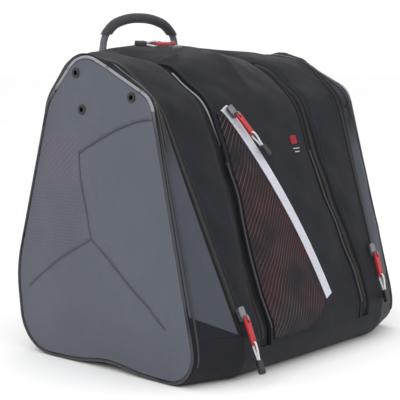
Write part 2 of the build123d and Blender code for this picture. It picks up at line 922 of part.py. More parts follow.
def divider(side):
    """A padded wall between a boot and the helmet."""
    with BuildPart() as plate:
        add(hull(padding + fit, hoop_reach))
        with Locations((side * divider_x, 0, height / 2.0)):
            Box(divider_thickness, far, far, mode=Mode.INTERSECT)
    return plate.part


def root_pieces():
    """The fixed body between the doors."""
    base = slab(base_outline(seam_gap))
    beds = [piping_loop(side, piping_radius + seam_gap) for side in (-1, 1)]
    flap_room = front_of(slab(flap_outline(flap_tape, flap_foot_z)), flap_end_y)
    save(above(without(within(hoop, base), flap_room, *beds), 0.0), "base_tray")
    with BuildPart() as board:
        add(hull(wall + fit, -wall - fit))
        with Locations((0, 0, wall + fit)):
            Box(far, far, 2.0 * board_thickness, mode=Mode.INTERSECT)
    save(board.part, "base_board")

    doors = [slab(door_outline(side, -boot_tape, -seam_gap)) for side in (-1, 1)]
    middle = without(hoop, slab(base_outline(-seam_gap)), *doors)
    top_width = slab(flap_outline(-seam_gap, 0.0))
    top_room = behind(slab(flap_outline(0.0, 0.0)), flap_end_y)
    back = below(behind(middle, back_start_y), back_top_z - seam_gap)
    back_room = below(behind(slab(back_outline()), back_start_y), back_top_z)
    top = above(behind(within(middle, top_width), flap_end_y + seam_gap), back_top_z)
    save(behind(top, flap_end_y + top_tape + seam_gap), "top_panel")
    save(front_of(top, flap_end_y + top_tape), "top_zip_tape")
    bands = without(middle, flap_room, top_room, back_room)
    thick = without(outside, hull(padding, hoop_reach), slab(base_outline(-seam_gap)), *doors)
    save(below(behind(thick, back_start_y), back_top_z - seam_gap), "back_panel")
    sunk = without(hull(groove_depth, -shy), hull(groove_depth + wall, hoop_reach))
    tape = slab(flap_outline(flap_tape - seam_gap, flap_foot_z + seam_gap))
    slot = without(within(sunk, tape), slab(flap_outline(seam_gap, -beyond)))
    slot = front_of(slot, flap_end_y - seam_gap)
    for side, word in ((-1, "left"), (1, "right")):
        half = half_space(side)
        save(within(bands, half), f"{word}_front_band")
        save(within(slot, half), f"{word}_flap_zip")
        outer = slab(door_outline(side, -boot_tape, 0.0))
        inner = slab(door_outline(side, 0.0, -seam_gap))
        strip = without(within(hoop, outer), inner, slab(base_outline(-seam_gap)))
        save(strip, f"{word}_boot_zip_inner")
        save(divider(side), f"{word}_divider")
        save(shoulder_strap(side), f"{word}_shoulder_strap")
        save(ladder_lock(side), f"{word}_ladder_lock")
        save(strap_webbing(side), f"{word}_strap_webbing")


side_pieces(-1, "left")
side_pieces(1, "right")
root_pieces()
flap_pieces()
save_pull(boot_seat(-1, left_slider_z), leaning_hang, cord_turn, "left_boot")
save_pull(boot_seat(1, right_slider_z), 0.0, 0.0, "right_boot")
save_pull(top_seat(), top_hang, 0.0, "top")
save_pull(pocket_seat(), 0.0, 0.0, "pocket")
save(handle_core_piece(), "handle_core")
save(handle_grip(), "handle_grip")
save(handle_anchors(), "handle_anchors")
arc_centre, arc_normal = pocket_circle()
print("pocket circle", tuple(arc_centre), tuple(arc_normal))
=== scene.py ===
import json
import math

import bmesh
import bpy
import numpy as np
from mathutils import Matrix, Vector
from mathutils.bvhtree import BVHTree
from mathutils.kdtree import KDTree


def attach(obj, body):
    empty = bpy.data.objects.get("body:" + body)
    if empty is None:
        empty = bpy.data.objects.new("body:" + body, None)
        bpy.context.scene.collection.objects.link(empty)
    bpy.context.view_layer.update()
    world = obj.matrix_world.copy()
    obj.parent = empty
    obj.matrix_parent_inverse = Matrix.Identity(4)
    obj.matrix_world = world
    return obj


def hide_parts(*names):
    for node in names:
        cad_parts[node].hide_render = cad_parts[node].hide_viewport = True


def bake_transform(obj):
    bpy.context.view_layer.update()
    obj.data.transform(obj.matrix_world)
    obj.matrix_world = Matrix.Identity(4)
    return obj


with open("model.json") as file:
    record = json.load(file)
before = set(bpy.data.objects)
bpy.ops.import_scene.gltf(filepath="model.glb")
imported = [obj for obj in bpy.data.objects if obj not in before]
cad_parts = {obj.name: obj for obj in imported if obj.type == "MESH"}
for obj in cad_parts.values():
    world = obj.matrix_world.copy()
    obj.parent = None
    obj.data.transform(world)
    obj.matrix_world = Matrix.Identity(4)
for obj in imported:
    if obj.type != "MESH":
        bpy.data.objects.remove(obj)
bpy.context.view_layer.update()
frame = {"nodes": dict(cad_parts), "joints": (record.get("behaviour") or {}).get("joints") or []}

# Lengths are in millimetres up to the moment a mesh is stored, and in metres after it.
MM = 0.001
MIDDLE = np.array([0.0, -10.0, 170.0])      # a point well inside the bag
NODES = frame["nodes"]
JOINTS = {joint["name"]: joint for joint in frame["joints"]}
SIDES = (("left", -1.0), ("right", 1.0))
DOOR_SLOPE = 0.0306     # how far a door's foot rises per length outwards
FOOT_SLOPE = 0.48       # how far the dark cloth at a gusset's foot rises outwards
FOOT_X, FOOT_Z = 158.0, 60.0    # where that line starts, at the boot zip's foot
RAY_LEVEL = 150.0       # rays that find the hoop start from a line at this level
RAY_REACH = 420.0
STRAP_X = 82.0          # middle of a shoulder strap
STRAP_HALF = 31.0
CORD_RADIUS = 1.3
CAMERA_PLACE = (-1.2552, -1.0823, 0.4118)
CAMERA_AIM = (0.7456, 0.6540, -0.1282)
CAMERA_LENS = 105.95


# ---- how the cloth moves off the flat frame ----
def ease(low, high, value):
    """0 before low, 1 after high, smooth between them."""
    t = np.clip((value - low) / (high - low), 0.0, 1.0)
    return t * t * (3.0 - 2.0 * t)


def flap_edge_x(z):
    return np.interp(z, [38.0, 105.0, 235.0, 400.0], [102.0, 107.0, 92.0, 98.0])


def boot_zip_x(z):
    return 151.0 + 0.1157 * z


def side_face_x(z):
    return 223.0 - 0.0297 * z


WRINKLES = [
    ((0.061, 0.042, 0.083), 0.4, 0.55), ((-0.048, 0.071, 0.052), 1.9, 0.5),
    ((0.094, -0.030, -0.041), 3.3, 0.4), ((0.022, 0.088, -0.067), 5.1, 0.45),
    ((0.131, 0.104, 0.052), 0.9, 0.22), ((-0.089, 0.121, -0.118), 2.6, 0.2),
    ((0.052, -0.147, 0.133), 4.4, 0.16),
]


def wrinkle(co):
    """Slow, uneven waves of slack cloth, about 1 mm deep."""
    total = np.zeros(len(co))
    for direction, phase, depth in WRINKLES:
        total += depth * np.sin(co @ np.array(direction) + phase)
    return total


def line_distance(points, line):
    """Distance of 2-D points to a polyline."""
    best = np.full(len(points), 1e9)
    for a, b in zip(line, line[1:]):
        a, b = np.array(a), np.array(b)
        t = np.clip((points - a) @ (b - a) / ((b - a) @ (b - a)), 0.0, 1.0)
        best = np.minimum(best, np.linalg.norm(points - a - t[:, None] * (b - a), axis=1))
    return best


def settle(co):
    """The sides' lower edges lift a little between the bag's corners."""
    x, y, z = co.T
    lift = 8.0 * np.exp(-((y + 20.0) / 46.0) ** 2) * (1.0 - ease(6.0, 84.0, z))
    moved = co.copy()
    moved[:, 2] += lift * ease(172.0, 218.0, np.abs(x))
    return moved


POCKET_LINE = [(-72.0, 338.0), (-6.0, 212.0), (16.0, 160.0), (31.0, 78.0)]


def hoop_move(co):
    """Moves the cloth that runs round the bag: sunk flap seams, slack and fullness."""
    x, y, z = co.T
    reach = np.abs(x)
    out = np.stack([np.zeros(len(co)), y, z - RAY_LEVEL], axis=1)
    out /= np.maximum(np.linalg.norm(out, axis=1), 1.0)[:, None]
    edge, zip_line, side = flap_edge_x(z), boot_zip_x(z), side_face_x(z)
    front = ease(58.0, 115.0, z) * (1.0 - ease(45.0, 100.0, y))
    depth = np.interp(z, [60.0, 130.0, 250.0, 385.0], [0.5, 3.0, 4.5, 7.0])
    towards = np.clip((reach - edge + 36.0) / 36.0, 0.0, 1.0) ** 2
    back = 1.0 - ease(0.0, 1.0, (reach - edge) / 26.0)
    valley = -depth * np.where(reach < edge, towards, back)
    across = np.clip((reach - edge - 10.0) / (zip_line - edge - 18.0), 0.0, 1.0)
    band = 2.4 * np.sin(math.pi * across) * front
    wedge = np.clip((reach - zip_line - 7.0) / np.maximum(side - zip_line - 12.0, 6.0), 0.0, 1.0)
    gusset = 3.0 * np.sin(math.pi * wedge) * ease(95.0, 150.0, z)
    pocket = line_distance(np.stack([x, z], axis=1), POCKET_LINE)
    quiet = ease(6.0, 22.0, np.abs(reach - zip_line)) * ease(60.0, 120.0, z)
    quiet *= np.where((y < 0.0) & (reach < 90.0), ease(12.0, 34.0, pocket), 1.0)
    quiet *= np.where(z > 370.0, ease(8.0, 26.0, np.abs(y - 19.0)), 1.0)
    quiet *= 1.0 - ease(96.0, 112.0, y)
    quiet *= ease(0.0, 9.0, side - 3.0 - reach)
    amount = valley * front + band + gusset + wrinkle(co) * quiet
    return settle(co + out * amount[:, None])


SIDE_ARC = [(37, 276), (24, 283), (10, 290), (-4, 296.5), (-17, 303), (-31, 309), (-44, 314),
            (-57, 318.5), (-70, 322), (-82, 323.6), (-94, 324)]
SIDE_FALL = [(37, 276), (35, 263), (32, 249), (28.5, 233), (25, 217), (20.5, 201), (16, 185), (9, 167)]
SIDE_SWEEP = [(9, 167), (-7, 155), (-24, 142), (-41, 128.5), (-59, 115), (-76, 102.5), (-94, 90), (-119, 69)]
SIDE_BRANCH = [(9, 167), (31, 156), (46, 148), (61, 140), (76, 131), (91, 120), (112, 106), (134, 90)]
SIDE_SEAMS = [(SIDE_ARC, 1.5), (SIDE_FALL, 0.9), (SIDE_SWEEP, 1.1), (SIDE_BRANCH, 0.7)]
SEAM_HALF = 2.0
EYELETS = [(46.0, 380.0), (34.0, 333.0), (-55.0, 351.0)]


def side_move(edge_tree):
    """Moves a side panel: pillowed, with sewn seams, and flat round its eyelets and edge."""
    def move(co):
        x, y, z = co.T
        flat = np.stack([y, z], axis=1)
        inward = np.array([edge_tree.find(Vector(p))[2] for p in co])
        holes = np.min([np.linalg.norm(flat - np.array(eye), axis=1) for eye in EYELETS], axis=0)
        quiet = ease(3.0, 22.0, inward) * ease(7.0, 26.0, holes)
        full = 4.6 * ease(3.0, 70.0, inward) * ease(6.0, 40.0, holes)
        groove = np.zeros(len(co))
        tuck = np.zeros(len(co))
        for line, depth in SIDE_SEAMS:
            away = line_distance(flat, line)
            groove = np.maximum(groove, depth * np.clip(1.0 - away / SEAM_HALF, 0.0, 1.0))
            tuck = np.maximum(tuck, 1.1 * depth * np.exp(-(away / 16.0) ** 2))
        amount = full + 0.75 * wrinkle(co) * quiet - (groove + tuck) * ease(2.0, 9.0, inward)
        moved = co.copy()
        moved[:, 0] += np.sign(x) * amount
        return settle(moved)
    return move


# ---- mesh helpers ----
def read_nodes(*names):
    """The named CAD nodes as one merged bmesh, in millimetres."""
    bm = bmesh.new()
    for name in names:
        bm.from_mesh(NODES[name].data)
    bmesh.ops.scale(bm, vec=(1000.0, 1000.0, 1000.0), verts=bm.verts)
    bmesh.ops.remove_doubles(bm, verts=bm.verts, dist=0.02)
    return bm


def cut_cells(bm, size, axes=(0, 1, 2)):
    """Cuts every face along a grid of planes, so that the cloth can bend."""
    co = np.array([v.co for v in bm.verts])
    for axis in axes:
        normal = Vector((0.0, 0.0, 0.0))
        normal[axis] = 1.0
        low, high = co[:, axis].min(), co[:, axis].max()
        count = int((high - low) / size)
        for k in range(1, count + 1):
            spot = normal * (low + (k - 0.37) * (high - low) / count)
            bmesh.ops.bisect_plane(bm, geom=bm.verts[:] + bm.edges[:] + bm.faces[:],
                                   plane_co=spot, plane_no=normal, dist=0.001)


def score(bm, line, half):
    """Three rows of cuts through a side panel along a sewn line."""
    for a, b in zip(line, line[1:]):
        start, end = Vector((0.0, *a)), Vector((0.0, *b))
        along = (end - start).normalized()
        across = along.cross(Vector((1.0, 0.0, 0.0)))
        centre, reach = (start + end) / 2.0, (end - start).length / 2.0 + half + 3.0
        near = []
        for face in bm.faces:
            spot = face.calc_center_median()
            if abs(spot.y - centre.y) < reach and abs(spot.z - centre.z) < reach:
                near.append(face)
        geom = list({e for f in near for e in f.edges} | {v for f in near for v in f.verts}) + near
        for shift in (-half, 0.0, half):
            cut = bmesh.ops.bisect_plane(bm, geom=geom, plane_co=start + across * shift,
                                         plane_no=across, dist=0.001)
            geom = cut["geom"]


def mark_sewn_line_shade(bm):
    """Stores how close each vertex of a side panel is to a sewn line, as the mask of the painted shade in the
    grooves of the seams.
    """
    near = bm.verts.layers.float.new("sewn_line_shade")
    flat = np.array([v.co for v in bm.verts])[:, 1:]
    away = np.min([line_distance(flat, line) for line, _ in SIDE_SEAMS], axis=0)
    for vert, gap in zip(bm.verts, away):
        vert[near] = max(0.0, 1.0 - gap / 2.4)


def move_verts(bm, move):
    co = move(np.array([v.co for v in bm.verts]))
    for vert, place in zip(bm.verts, co):
        vert.co = place


def mark_sharp(bm, degrees):
    """Smooth shading, broken at edges sharper than that; returns the vertices there."""
    limit = math.radians(degrees)
    for face in bm.faces:
        face.smooth = True
    edges = [e for e in bm.edges if e.is_manifold and e.calc_face_angle(0.0) > limit]
    for edge in edges:
        edge.smooth = False
    return {v for e in edges for v in e.verts}


def store(bm, name, materials, sharp=34.0, lined=False):
    """Makes the object: metres, sharp edges, a mask of lighter edges that is partly abrasion and partly
    painted highlight, and lining on its inner faces.
    """
    # painted highlight and abrasion: every vertex on a sharp edge is marked for a lighter colour
    layer = bm.verts.layers.float.new("abrasion_and_highlight")
    for vert in mark_sharp(bm, sharp):
        vert[layer] = 1.0
    if lined:
        bm.normal_update()
        for face in bm.faces:
            away = face.calc_center_median() - Vector(MIDDLE)
            if face.normal.dot(away.normalized()) < 0.05:
                face.material_index = 1
    bmesh.ops.scale(bm, vec=(MM, MM, MM), verts=bm.verts)
    mesh = bpy.data.meshes.new(name)
    bm.to_mesh(mesh)
    bm.free()
    obj = bpy.data.objects.new(name, mesh)
    bpy.context.scene.collection.objects.link(obj)
    for material in materials:
        mesh.materials.append(material)
    return obj


def place(obj, body, slot, *nodes):
    """Rides and the CAD nodes that the piece stands for; slot is not used."""
    if body is not None:
        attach(obj, body)
    if nodes:
        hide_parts(*nodes)
    return obj


def door_blend(obj):
    """Bakes the piece's placing into its mesh."""
    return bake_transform(obj)


def flap_blend(obj):
    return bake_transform(obj)


def smooth_line(name, points, radius, around_steps, along_steps):
    """A round smooth curve along points in millimetres, linked to the scene."""
    curve = bpy.data.curves.new(name, "CURVE")
    curve.dimensions = "3D"
    curve.bevel_depth = radius * MM
    curve.bevel_resolution = around_steps
    curve.resolution_u = along_steps
    curve.use_fill_caps = True
    spline = curve.splines.new("NURBS")
    spline.points.add(len(points) - 1)
    for target, point in zip(spline.points, points):
        target.co = (*(Vector(point) * MM), 1.0)
    spline.order_u = 3
    spline.use_endpoint_u = True
    made = bpy.data.objects.new(name, curve)
    bpy.context.scene.collection.objects.link(made)
    return made


def tube(name, points, radius, material):
    """A smooth cord along points in millimetres, as a closed mesh."""
    made = smooth_line(name, points, radius, 2, 3)
    mesh = bpy.data.meshes.new_from_object(made)
    bpy.data.objects.remove(made)
    mesh.name = name
    mesh.materials.clear()
    mesh.materials.append(material)
    for polygon in mesh.polygons:
        polygon.use_smooth = True
    obj = bpy.data.objects.new(name, mesh)
    bpy.context.scene.collection.objects.link(obj)
    return obj


def surface_of(*objects):
    """A ray target made of finished pieces, in millimetres."""
    bm = bmesh.new()
    for obj in objects:
        bm.from_mesh(obj.data)
    bmesh.ops.scale(bm, vec=(1000.0, 1000.0, 1000.0), verts=bm.verts)
    tree = BVHTree.FromBMesh(bm)
    bm.free()
    return tree


def around(tree, x_at, first, last, step, lift=0.0):
    """Points and normals round the hoop, where x is x_at(z); angles from the front, over the top."""
    found = []
    count = max(2, int(abs(last - first) / step))
    for k in range(count + 1):
        angle = math.radians(first + (last - first) * k / count)
        out = Vector((0.0, -math.cos(angle), math.sin(angle)))
        z, hit, normal = RAY_LEVEL + 250.0 * max(out.z, -0.3), None, None
        for _ in range(4):
            origin = Vector((x_at(z), 0.0, RAY_LEVEL)) + out * RAY_REACH
            hit, normal, _, _ = tree.ray_cast(origin, -out)
            if hit is None:
                break
            z = hit.z
        if hit is not None:
            if normal.dot(out) < 0.0:
                normal = -normal
            found.append((hit + normal * lift, normal))
    return found


def along_side(tree, line, side, lift=0.0):
    """Points and normals on a side panel under a line of (y, z)."""
    found = []
    for y, z in line:
        hit, normal, _, _ = tree.ray_cast(Vector((side * 300.0, y, z)), Vector((-side, 0.0, 0.0)))
        if hit is not None:
            found.append((hit + normal * lift, normal))
    return found


def even(points, pitch):
    """The same route at even steps: (point, normal, direction)."""
    result, left = [], 0.0
    for (a, na), (b, nb) in zip(points, points[1:]):
        length = (b - a).length
        if length < 1e-6 or length > 30.0:
            continue
        along = (b - a) / length
        at = left
        while at < length:
            result.append((a + along * at, na.lerp(nb, at / length).normalized(), along))
            at += pitch
        left = at - length
    return result


def row_of(name, spots, size, material, shape="thread"):
    """One small shape at every spot, lying along the route."""
    seed = bmesh.new()
    if shape == "thread":
        bmesh.ops.create_icosphere(seed, subdivisions=1, radius=0.5)
    else:
        bmesh.ops.create_cube(seed, size=1.0)
        bmesh.ops.bevel(seed, geom=seed.edges[:], offset=0.16, segments=1, affect="EDGES",
                        profile=0.5, material=-1)
    bmesh.ops.scale(seed, vec=size, verts=seed.verts)
    shape_mesh = bpy.data.meshes.new("seed")
    seed.to_mesh(shape_mesh)
    seed.free()
    base = np.array([v.co for v in shape_mesh.vertices])
    bm = bmesh.new()
    for spot, normal, along in spots:
        side = normal.cross(along).normalized()
        rise = along.cross(side).normalized()
        start = len(bm.verts)
        bm.from_mesh(shape_mesh)
        bm.verts.ensure_lookup_table()
        turned = base @ np.array([along, side, rise]) + np.array(spot)
        for k, place_at in enumerate(turned):
            bm.verts[start + k].co = place_at
    bpy.data.meshes.remove(shape_mesh)
    return store(bm, name, [material], sharp=60.0 if shape == "thread" else 30.0)


def patch(name, tree, origin, across, down, size, lift, thick, materials, aim):
    """A flat strip laid on the cloth under it: rows down its length follow the surface."""
    bm = bmesh.new()
    columns, rows = max(2, int(size[0] / 4.0)), max(2, int(size[1] / 4.0))
    bmesh.ops.create_grid(bm, x_segments=columns, y_segments=rows, size=0.5)
    across, down, aim = Vector(across).normalized(), Vector(down).normalized(), Vector(aim).normalized()
    lost = []
    for vert in bm.verts:
        spot = Vector(origin) + across * vert.co.x * size[0] + down * (vert.co.y + 0.5) * size[1]
        hit, normal, _, _ = tree.ray_cast(spot - aim * 120.0, aim)
        if hit is None:
            lost.append(vert)
            continue
        vert.co = hit - aim * lift
    bmesh.ops.delete(bm, geom=lost, context="VERTS")
    bmesh.ops.smooth_vert(bm, verts=bm.verts, factor=0.5, use_axis_x=True, use_axis_y=True, use_axis_z=True)
    bm.normal_update()
    if bm.faces and sum((f.normal.dot(aim) for f in bm.faces)) > 0.0:
        bmesh.ops.reverse_faces(bm, faces=bm.faces)
    bmesh.ops.solidify(bm, geom=bm.faces[:], thickness=thick)
    bmesh.ops.recalc_face_normals(bm, faces=bm.faces)
    return store(bm, name, materials, sharp=40.0)


# ---- finishes ----
def srgb(red, green, blue):
    """A display colour, 0 to 255, as the linear colour that a shader takes."""
    def linear(value):
        value /= 255.0
        return value / 12.92 if value <= 0.04045 else ((value + 0.055) / 1.055) ** 2.4
    return (linear(red), linear(green), linear(blue), 1.0)


class Finish:
    """A small writer for one material's nodes."""

    def __init__(self, name):
        self.material = bpy.data.materials.new(name)
        self.material.use_nodes = True
        self.tree = self.material.node_tree
        self.tree.nodes.clear()
        self.place = self.node("ShaderNodeTexCoord", {}, {}).outputs["Object"]
        split = self.node("ShaderNodeSeparateXYZ", {}, {"Vector": self.place})
        self.x, self.y, self.z = split.outputs

    def node(self, kind, settings, inputs):
        made = self.tree.nodes.new(kind)
        for key, value in settings.items():
            setattr(made, key, value)
        for key, value in inputs.items():
            if isinstance(value, bpy.types.NodeSocket):
                self.tree.links.new(value, made.inputs[key])
            else:
                made.inputs[key].default_value = value
        return made

    def math(self, operation, a, b=0.0, c=0.0, clamp=False):
        made = self.node("ShaderNodeMath", {"operation": operation, "use_clamp": clamp}, {0: a, 1: b, 2: c})
        return made.outputs[0]

    def mix(self, factor, a, b, blend="MIX"):
        made = self.node("ShaderNodeMix", {"data_type": "RGBA", "blend_type": blend},
                         {"Factor": factor, 6: a, 7: b})
        return made.outputs[2]

    def darken(self, base, share):
        """A colour times a grey."""
        grey = self.node("ShaderNodeCombineColor", {}, {0: share, 1: share, 2: share}).outputs[0]
        return self.mix(1.0, base, grey, "MULTIPLY")

    def noise(self, scale, detail=2.0, rough=0.5, vector=None):
        made = self.node("ShaderNodeTexNoise", {}, {"Vector": vector or self.place, "Scale": scale,
                                                    "Detail": detail, "Roughness": rough})
        return made.outputs["Fac"]

    def band(self, value, low, high, soft):
        """1 where value lies between low and high."""
        up = self.node("ShaderNodeMapRange", {"interpolation_type": "SMOOTHSTEP"},
                       {"Value": value, "From Min": low - soft, "From Max": low + soft})
        down = self.node("ShaderNodeMapRange", {"interpolation_type": "SMOOTHSTEP"},
                         {"Value": value, "From Min": high - soft, "From Max": high + soft})
        return self.math("SUBTRACT", up.outputs[0], down.outputs[0], clamp=True)

    def stripes(self, value, pitch, share):
        """Thin lines at every pitch of value, share of the pitch wide, 0 to 1."""
        turn = self.math("FRACT", self.math("DIVIDE", value, pitch))
        away = self.math("ABSOLUTE", self.math("SUBTRACT", turn, 0.5))
        return self.math("SUBTRACT", 1.0, self.math("DIVIDE", away, share / 2.0), clamp=True)

    def weave(self, pitch):
        """Over and under threads on whichever way the cloth faces, 0 to 1."""
        wave = [self.math("SINE", self.math("MULTIPLY", part, 2.0 * math.pi / pitch))
                for part in (self.x, self.y, self.z)]
        a = self.math("MULTIPLY", wave[0], wave[1])
        b = self.math("MULTIPLY", wave[1], wave[2])
        c = self.math("MULTIPLY", wave[0], wave[2])
        total = self.math("ADD", self.math("ADD", a, b), c)
        return self.math("MULTIPLY_ADD", total, 0.3, 0.5, clamp=True)

    def abraded_and_lit_edges(self):
        # mask of lighter sharp edges: partly abrasion, partly painted edge highlight
        return self.node("ShaderNodeAttribute", {"attribute_name": "abrasion_and_highlight"}, {}).outputs["Fac"]

    def shade(self, colour, roughness, height=None, depth=0.0003, **constants):
        """The surface itself; constants go straight on the shader's own sockets."""
        inputs = {"Base Color": colour, "Roughness": roughness}
        if height is not None:
            bump = self.node("ShaderNodeBump", {}, {"Height": height, "Distance": depth, "Strength": 1.0})
            inputs["Normal"] = bump.outputs["Normal"]
        shader = self.node("ShaderNodeBsdfPrincipled", {}, inputs)
        for key, value in constants.items():
            shader.inputs[key.replace("_", " ")].default_value = value
        self.node("ShaderNodeOutputMaterial", {}, {"Surface": shader.outputs[0]})
        return self.material


def tint(colour, share):
    return tuple(min(1.0, part * share) for part in colour[:3]) + (1.0,)


def plain_cloth(name, colour, pitch=0.0009, contrast=0.16, rough=0.72, sheen=0.04, depth=0.00022, abrasion_and_highlight=0.5):
    """Coated woven cloth: threads, slow shade changes, fine specks, and lighter sharp edges, partly abrasion
    and partly painted highlight.
    """
    f = Finish(name)
    threads = f.weave(pitch)
    base = f.mix(threads, tint(colour, 1.0 - contrast), tint(colour, 1.0 + contrast))
    slow = f.math("MULTIPLY_ADD", f.noise(14.0, 3.0), 0.34, 0.83)
    specks = f.math("MULTIPLY_ADD", f.noise(900.0, 1.0), 0.24, 0.88)
    base = f.darken(base, slow)
    base = f.darken(base, specks)
    # painted highlight and abrasion: sharp edges are painted lighter
    base = f.mix(f.math("MULTIPLY", f.abraded_and_lit_edges(), abrasion_and_highlight), base, tint(colour, 1.45))
    roughness = f.math("MULTIPLY_ADD", f.noise(60.0, 2.0), 0.2, rough - 0.1)
    height = f.math("ADD", threads, f.math("MULTIPLY", f.noise(240.0, 2.0), 0.7))
    return f.shade(base, roughness, height, depth, Sheen_Weight=sheen, Sheen_Roughness=0.45,
                   Specular_IOR_Level=0.14)


def side_cloth():
    """Grey ripstop: small diamonds, a pressed striped field, faint slanted tint, printed dashes, and painted
    shade in the grooves of the sewn seams.
    """
    f = Finish("side_ripstop")
    grey = srgb(86, 90, 100)
    threads = f.weave(0.0008)
    base = f.mix(threads, tint(grey, 0.9), tint(grey, 1.1))
    falling = f.math("ADD", f.y, f.math("MULTIPLY", f.z, 0.62))
    rising = f.math("SUBTRACT", f.y, f.math("MULTIPLY", f.z, 0.62))
    grid = f.math("MAXIMUM", f.stripes(falling, 0.0052, 0.3), f.stripes(rising, 0.0052, 0.3))
    patchy = f.math("MULTIPLY_ADD", f.noise(9.0, 2.0), 1.5, -0.35, clamp=True)
    base = f.mix(f.math("MULTIPLY", grid, f.math("MULTIPLY", patchy, 0.5)), base, tint(grey, 0.66))
    field = f.math("MULTIPLY", f.band(f.y, 0.030, 0.150, 0.012), f.band(f.z, 0.140, 0.240, 0.014))
    pressed = f.math("MULTIPLY", f.stripes(f.z, 0.0043, 0.5), field)
    base = f.mix(f.math("MULTIPLY", pressed, 0.3), base, tint(grey, 0.72))
    slant = f.math("ADD", f.z, f.math("MULTIPLY", f.y, 0.85))
    zone = f.math("MULTIPLY", f.band(f.y, 0.034, 0.110, 0.016), f.band(f.z, 0.236, 0.300, 0.014))
    strokes = f.math("MULTIPLY", f.stripes(slant, 0.0082, 0.42), zone)
    base = f.mix(f.math("MULTIPLY", strokes, 0.34), base, srgb(150, 84, 96))
    slow = f.math("MULTIPLY_ADD", f.noise(7.0, 3.0), 0.3, 0.85)
    base = f.darken(base, slow)
    # painted highlight and abrasion: sharp edges a little lighter
    base = f.mix(f.math("MULTIPLY", f.abraded_and_lit_edges(), 0.2), base, tint(grey, 1.3))
    # painted shade: the grooves of the sewn seams are darkened in the colour
    sewn_line_shade = f.node("ShaderNodeAttribute", {"attribute_name": "sewn_line_shade"}, {}).outputs["Fac"]
    base = f.mix(f.math("MULTIPLY", sewn_line_shade, 0.7), base, srgb(44, 45, 52))
    height = f.math("ADD", threads, f.math("MULTIPLY", grid, 0.8))
    height = f.math("SUBTRACT", height, f.math("MULTIPLY", pressed, 2.4))
    rough = f.math("MULTIPLY_ADD", f.noise(45.0, 2.0), 0.2, 0.55)
    return f.shade(base, rough, height, 0.0002, Sheen_Weight=0.05, Sheen_Roughness=0.4,
                   Specular_IOR_Level=0.25)


def gusset_cloth():
    """Light grey cloth low down that turns into a ribbed brown-grey tape over the top."""
    f = Finish("gusset_cloth")
    grey, tape = srgb(66, 70, 79), srgb(32, 31, 35)
    threads = f.weave(0.0009)
    reach = f.math("ABSOLUTE", f.x)
    ribs = f.stripes(f.math("ADD", reach, f.math("MULTIPLY", f.z, 0.05)), 0.0031, 0.5)
    top = f.node("ShaderNodeMapRange", {"interpolation_type": "SMOOTHSTEP"},
                 {"Value": f.z, "From Min": 0.25, "From Max": 0.33}).outputs[0]
    low = f.mix(threads, tint(grey, 0.9), tint(grey, 1.1))
    high = f.mix(ribs, tint(tape, 0.72), tint(tape, 1.18))
    base = f.mix(top, low, high)
    slow = f.math("MULTIPLY_ADD", f.noise(12.0, 3.0), 0.34, 0.83)
    base = f.darken(base, slow)
    # painted highlight and abrasion: sharp edges painted lighter
    base = f.mix(f.math("MULTIPLY", f.abraded_and_lit_edges(), 0.4), base, tint(grey, 1.3))
    height = f.math("ADD", threads, f.math("MULTIPLY", f.math("MULTIPLY", ribs, top), 3.0))
    return f.shade(base, 0.66, height, 0.00025, Sheen_Weight=0.04, Sheen_Roughness=0.4,
                   Specular_IOR_Level=0.22)


def pocket_cloth():
    """Dark cloth printed with flowing contour lines, grey above and dark red below."""
    f = Finish("pocket_contours")
    ground = srgb(24, 22, 27)
    threads = f.weave(0.0009)
    base = f.mix(threads, tint(ground, 0.85), tint(ground, 1.15))
    slope = f.math("ADD", f.math("MULTIPLY", f.x, 0.78), f.math("MULTIPLY", f.z, -0.62))
    sway = f.math("MULTIPLY", f.noise(6.0, 1.0), 0.05)
    lines = f.stripes(f.math("ADD", slope, sway), 0.0050, 0.3)
    broken = f.math("MULTIPLY_ADD", f.noise(24.0, 2.0), 4.0, -1.3, clamp=True)
    lines = f.math("MULTIPLY", lines, broken)
    redness = f.math("MULTIPLY_ADD", f.noise(9.0, 1.0), 3.2, -1.1, clamp=True)
    low = f.node("ShaderNodeMapRange", {}, {"Value": f.z, "From Min": 0.28, "From Max": 0.1}).outputs[0]
    redness = f.math("MULTIPLY", redness, f.math("MULTIPLY_ADD", low, 0.7, 0.3), clamp=True)
    ink = f.mix(redness, srgb(104, 84, 84), srgb(138, 30, 38))
    base = f.mix(f.math("MULTIPLY", lines, 0.8), base, ink)
    # painted highlight and abrasion: sharp edges painted lighter
    base = f.mix(f.math("MULTIPLY", f.abraded_and_lit_edges(), 0.4), base, tint(ground, 1.5))
    return f.shade(base, 0.62, threads, 0.0002, Sheen_Weight=0.03, Sheen_Roughness=0.4,
                   Specular_IOR_Level=0.18)


def ribbed(name, colour, pitch, axis, rough=0.6, contrast=0.3, depth=0.0003, second=None, sheen=0.02):
    """Tape or webbing: ribs across one direction, with fine threads between them."""
    f = Finish(name)
    value = {"x": f.x, "y": f.y, "z": f.z}[axis]
    ribs = f.stripes(value, pitch, 0.8)
    threads = f.weave(0.0007)
    base = f.mix(ribs, tint(colour, 1.0 - contrast), tint(colour, 1.0 + contrast * 0.5))
    if second is not None:
        base = f.mix(f.math("MULTIPLY", threads, 0.5), base, second)
    slow = f.math("MULTIPLY_ADD", f.noise(35.0, 3.0), 0.3, 0.85)
    base = f.darken(base, slow)
    # painted highlight and abrasion: sharp edges painted lighter
    base = f.mix(f.math("MULTIPLY", f.abraded_and_lit_edges(), 0.3), base, tint(colour, 1.4))
    height = f.math("ADD", ribs, f.math("MULTIPLY", threads, 0.5))
    return f.shade(base, rough, height, depth, Sheen_Weight=sheen, Specular_IOR_Level=0.22)


